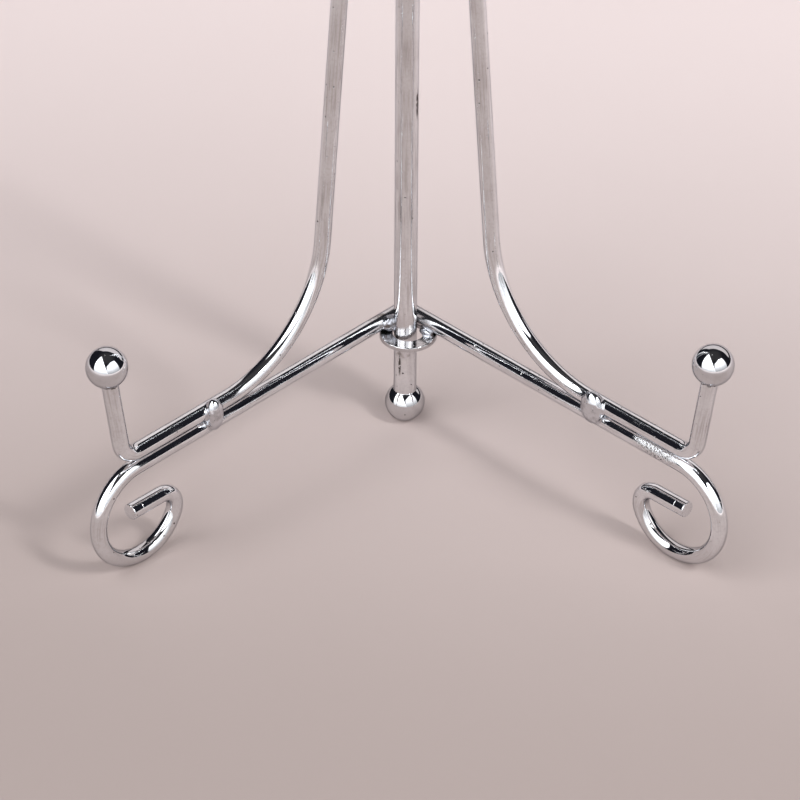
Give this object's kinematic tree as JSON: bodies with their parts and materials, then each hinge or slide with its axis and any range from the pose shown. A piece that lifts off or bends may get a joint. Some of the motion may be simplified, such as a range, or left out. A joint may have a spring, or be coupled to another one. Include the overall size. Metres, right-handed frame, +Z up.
{
  "type": "folding display easel",
  "caption": "Folding tabletop display easel of bent chrome-plated wire: a rear post on a ball, and two wings that curl down to feet and turn up into ball-tipped prongs.",
  "frame": {"origin": "the point of the table under the rear post's axis", "axes": "+Z up along the rear post, -Y towards the front, where the feet and the prongs are, +X to the right as seen from the front"},
  "size_m": [0.1856, 0.0928, 0.381],
  "materials": {
    "chrome": "bright decorative chrome plating with fine pits, and grey bare spots near the bends",
    "plated_weld": "plated over weld metal, softer and slightly lumpy"
  },
  "bodies": {
    "left_frame": {"post": "chrome", "foot_ball": "chrome", "top_ball": "chrome", "left_foot_wire": "chrome", "left_upright": "chrome", "left_brace_weld": "plated_weld", "left_prong_ball": "chrome", "left_ball_weld": "plated_weld", "left_arm_weld": "plated_weld", "left_top_weld": "plated_weld"},
    "right_wing": {"right_foot_wire": "chrome", "right_upright": "chrome", "right_brace_weld": "plated_weld", "right_prong_ball": "chrome", "right_ball_weld": "plated_weld", "right_arm_weld": "plated_weld", "right_top_weld": "plated_weld", "lower_washer": "chrome", "upper_washer": "chrome"}
  },
  "joints": [
    {"name": "wing_fold", "type": "hinge", "parent": "left_frame", "child": "right_wing", "pos_m": [0, 0, 0], "axis": [0, 0, -1], "range_deg": [0, 90]}
  ]
}
